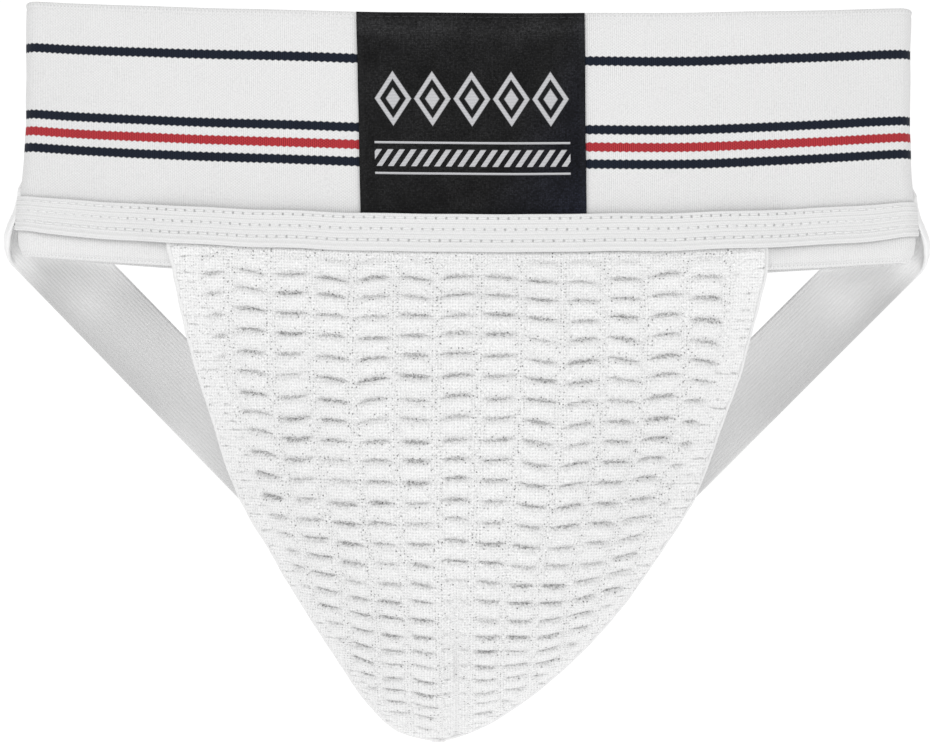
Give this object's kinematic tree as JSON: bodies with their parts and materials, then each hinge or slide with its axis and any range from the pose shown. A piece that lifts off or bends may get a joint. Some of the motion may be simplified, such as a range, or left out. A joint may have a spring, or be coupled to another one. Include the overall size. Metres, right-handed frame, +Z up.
{
  "type": "groin protector",
  "caption": "Athletic groin protector: wide elastic waistband, stitched front pouch with an inner pocket and vented cup, and two elastic leg straps.",
  "frame": {"origin": "middle of the waist opening, level with the top edge of the band at its side folds", "axes": "+Z up out of the waist opening, -Y the front of the pouch, +X to the right-hand side of the front view"},
  "size_m": [0.273, 0.0581, 0.2169],
  "materials": {
    "band_elastic": "woven elastic",
    "label_satin": "woven satin",
    "sewing_thread": "spun thread",
    "tape_white": "narrow woven tape",
    "strap_elastic": "ribbed elastic",
    "pouch_knit": "knitted",
    "binding_white": "knitted",
    "lining_white": "fine knit",
    "tag_white": "smooth woven",
    "cup_plastic": "satin moulded",
    "cup_edge": "soft moulded"
  },
  "bodies": {
    "front_band": {"waistband_front": "band_elastic", "front_label": "label_satin", "label_top_stitching": "sewing_thread", "cover_tape": "tape_white", "tape_stitching_upper": "sewing_thread", "tape_stitching_middle": "sewing_thread", "tape_stitching_lower": "sewing_thread", "pouch_heading": "pouch_knit", "leg_strap_left_sewn_end": "strap_elastic", "leg_strap_right_sewn_end": "strap_elastic", "strap_bar_tack_left": "sewing_thread", "strap_bar_tack_right": "sewing_thread"},
    "back_band": {"waistband_back": "band_elastic", "waistband_lap_join": "band_elastic", "care_tag": "tag_white"},
    "pouch": {"pouch_front": "pouch_knit", "pouch_edge_binding_left": "binding_white", "pouch_edge_binding_right": "binding_white", "pouch_dart_stitching": "sewing_thread", "pocket_liner": "lining_white", "pocket_mouth_elastic": "strap_elastic"},
    "left_strap": {"leg_strap_left": "strap_elastic", "bottom_bar_tack_left": "sewing_thread"},
    "right_strap": {"leg_strap_right": "strap_elastic", "bottom_bar_tack_right": "sewing_thread"},
    "cup": {"cup_shell": "cup_plastic", "cup_rim_cushion": "cup_edge"}
  },
  "joints": [
    {"name": "waist_stretch", "type": "slide", "parent": "front_band", "child": "back_band", "axis": [0, 1, 0], "range_m": [0, 0.08]},
    {"name": "pouch_swing", "type": "hinge", "parent": "front_band", "child": "pouch", "pos_m": [0, -0.0386, -0.0746], "axis": [-1, 0, 0], "range_deg": [-4, 50]},
    {"name": "left_strap_stretch", "type": "slide", "parent": "pouch", "child": "left_strap", "axis": [-0.342, 0.9397, 0], "range_m": [0, 0.045]},
    {"name": "right_strap_stretch", "type": "slide", "parent": "pouch", "child": "right_strap", "axis": [0.342, 0.9397, 0], "range_m": [0, 0.045]},
    {"name": "cup_lift", "type": "slide", "parent": "pouch", "child": "cup", "axis": [0, -0.1045, 0.9945], "range_m": [0, 0.015]}
  ]
}
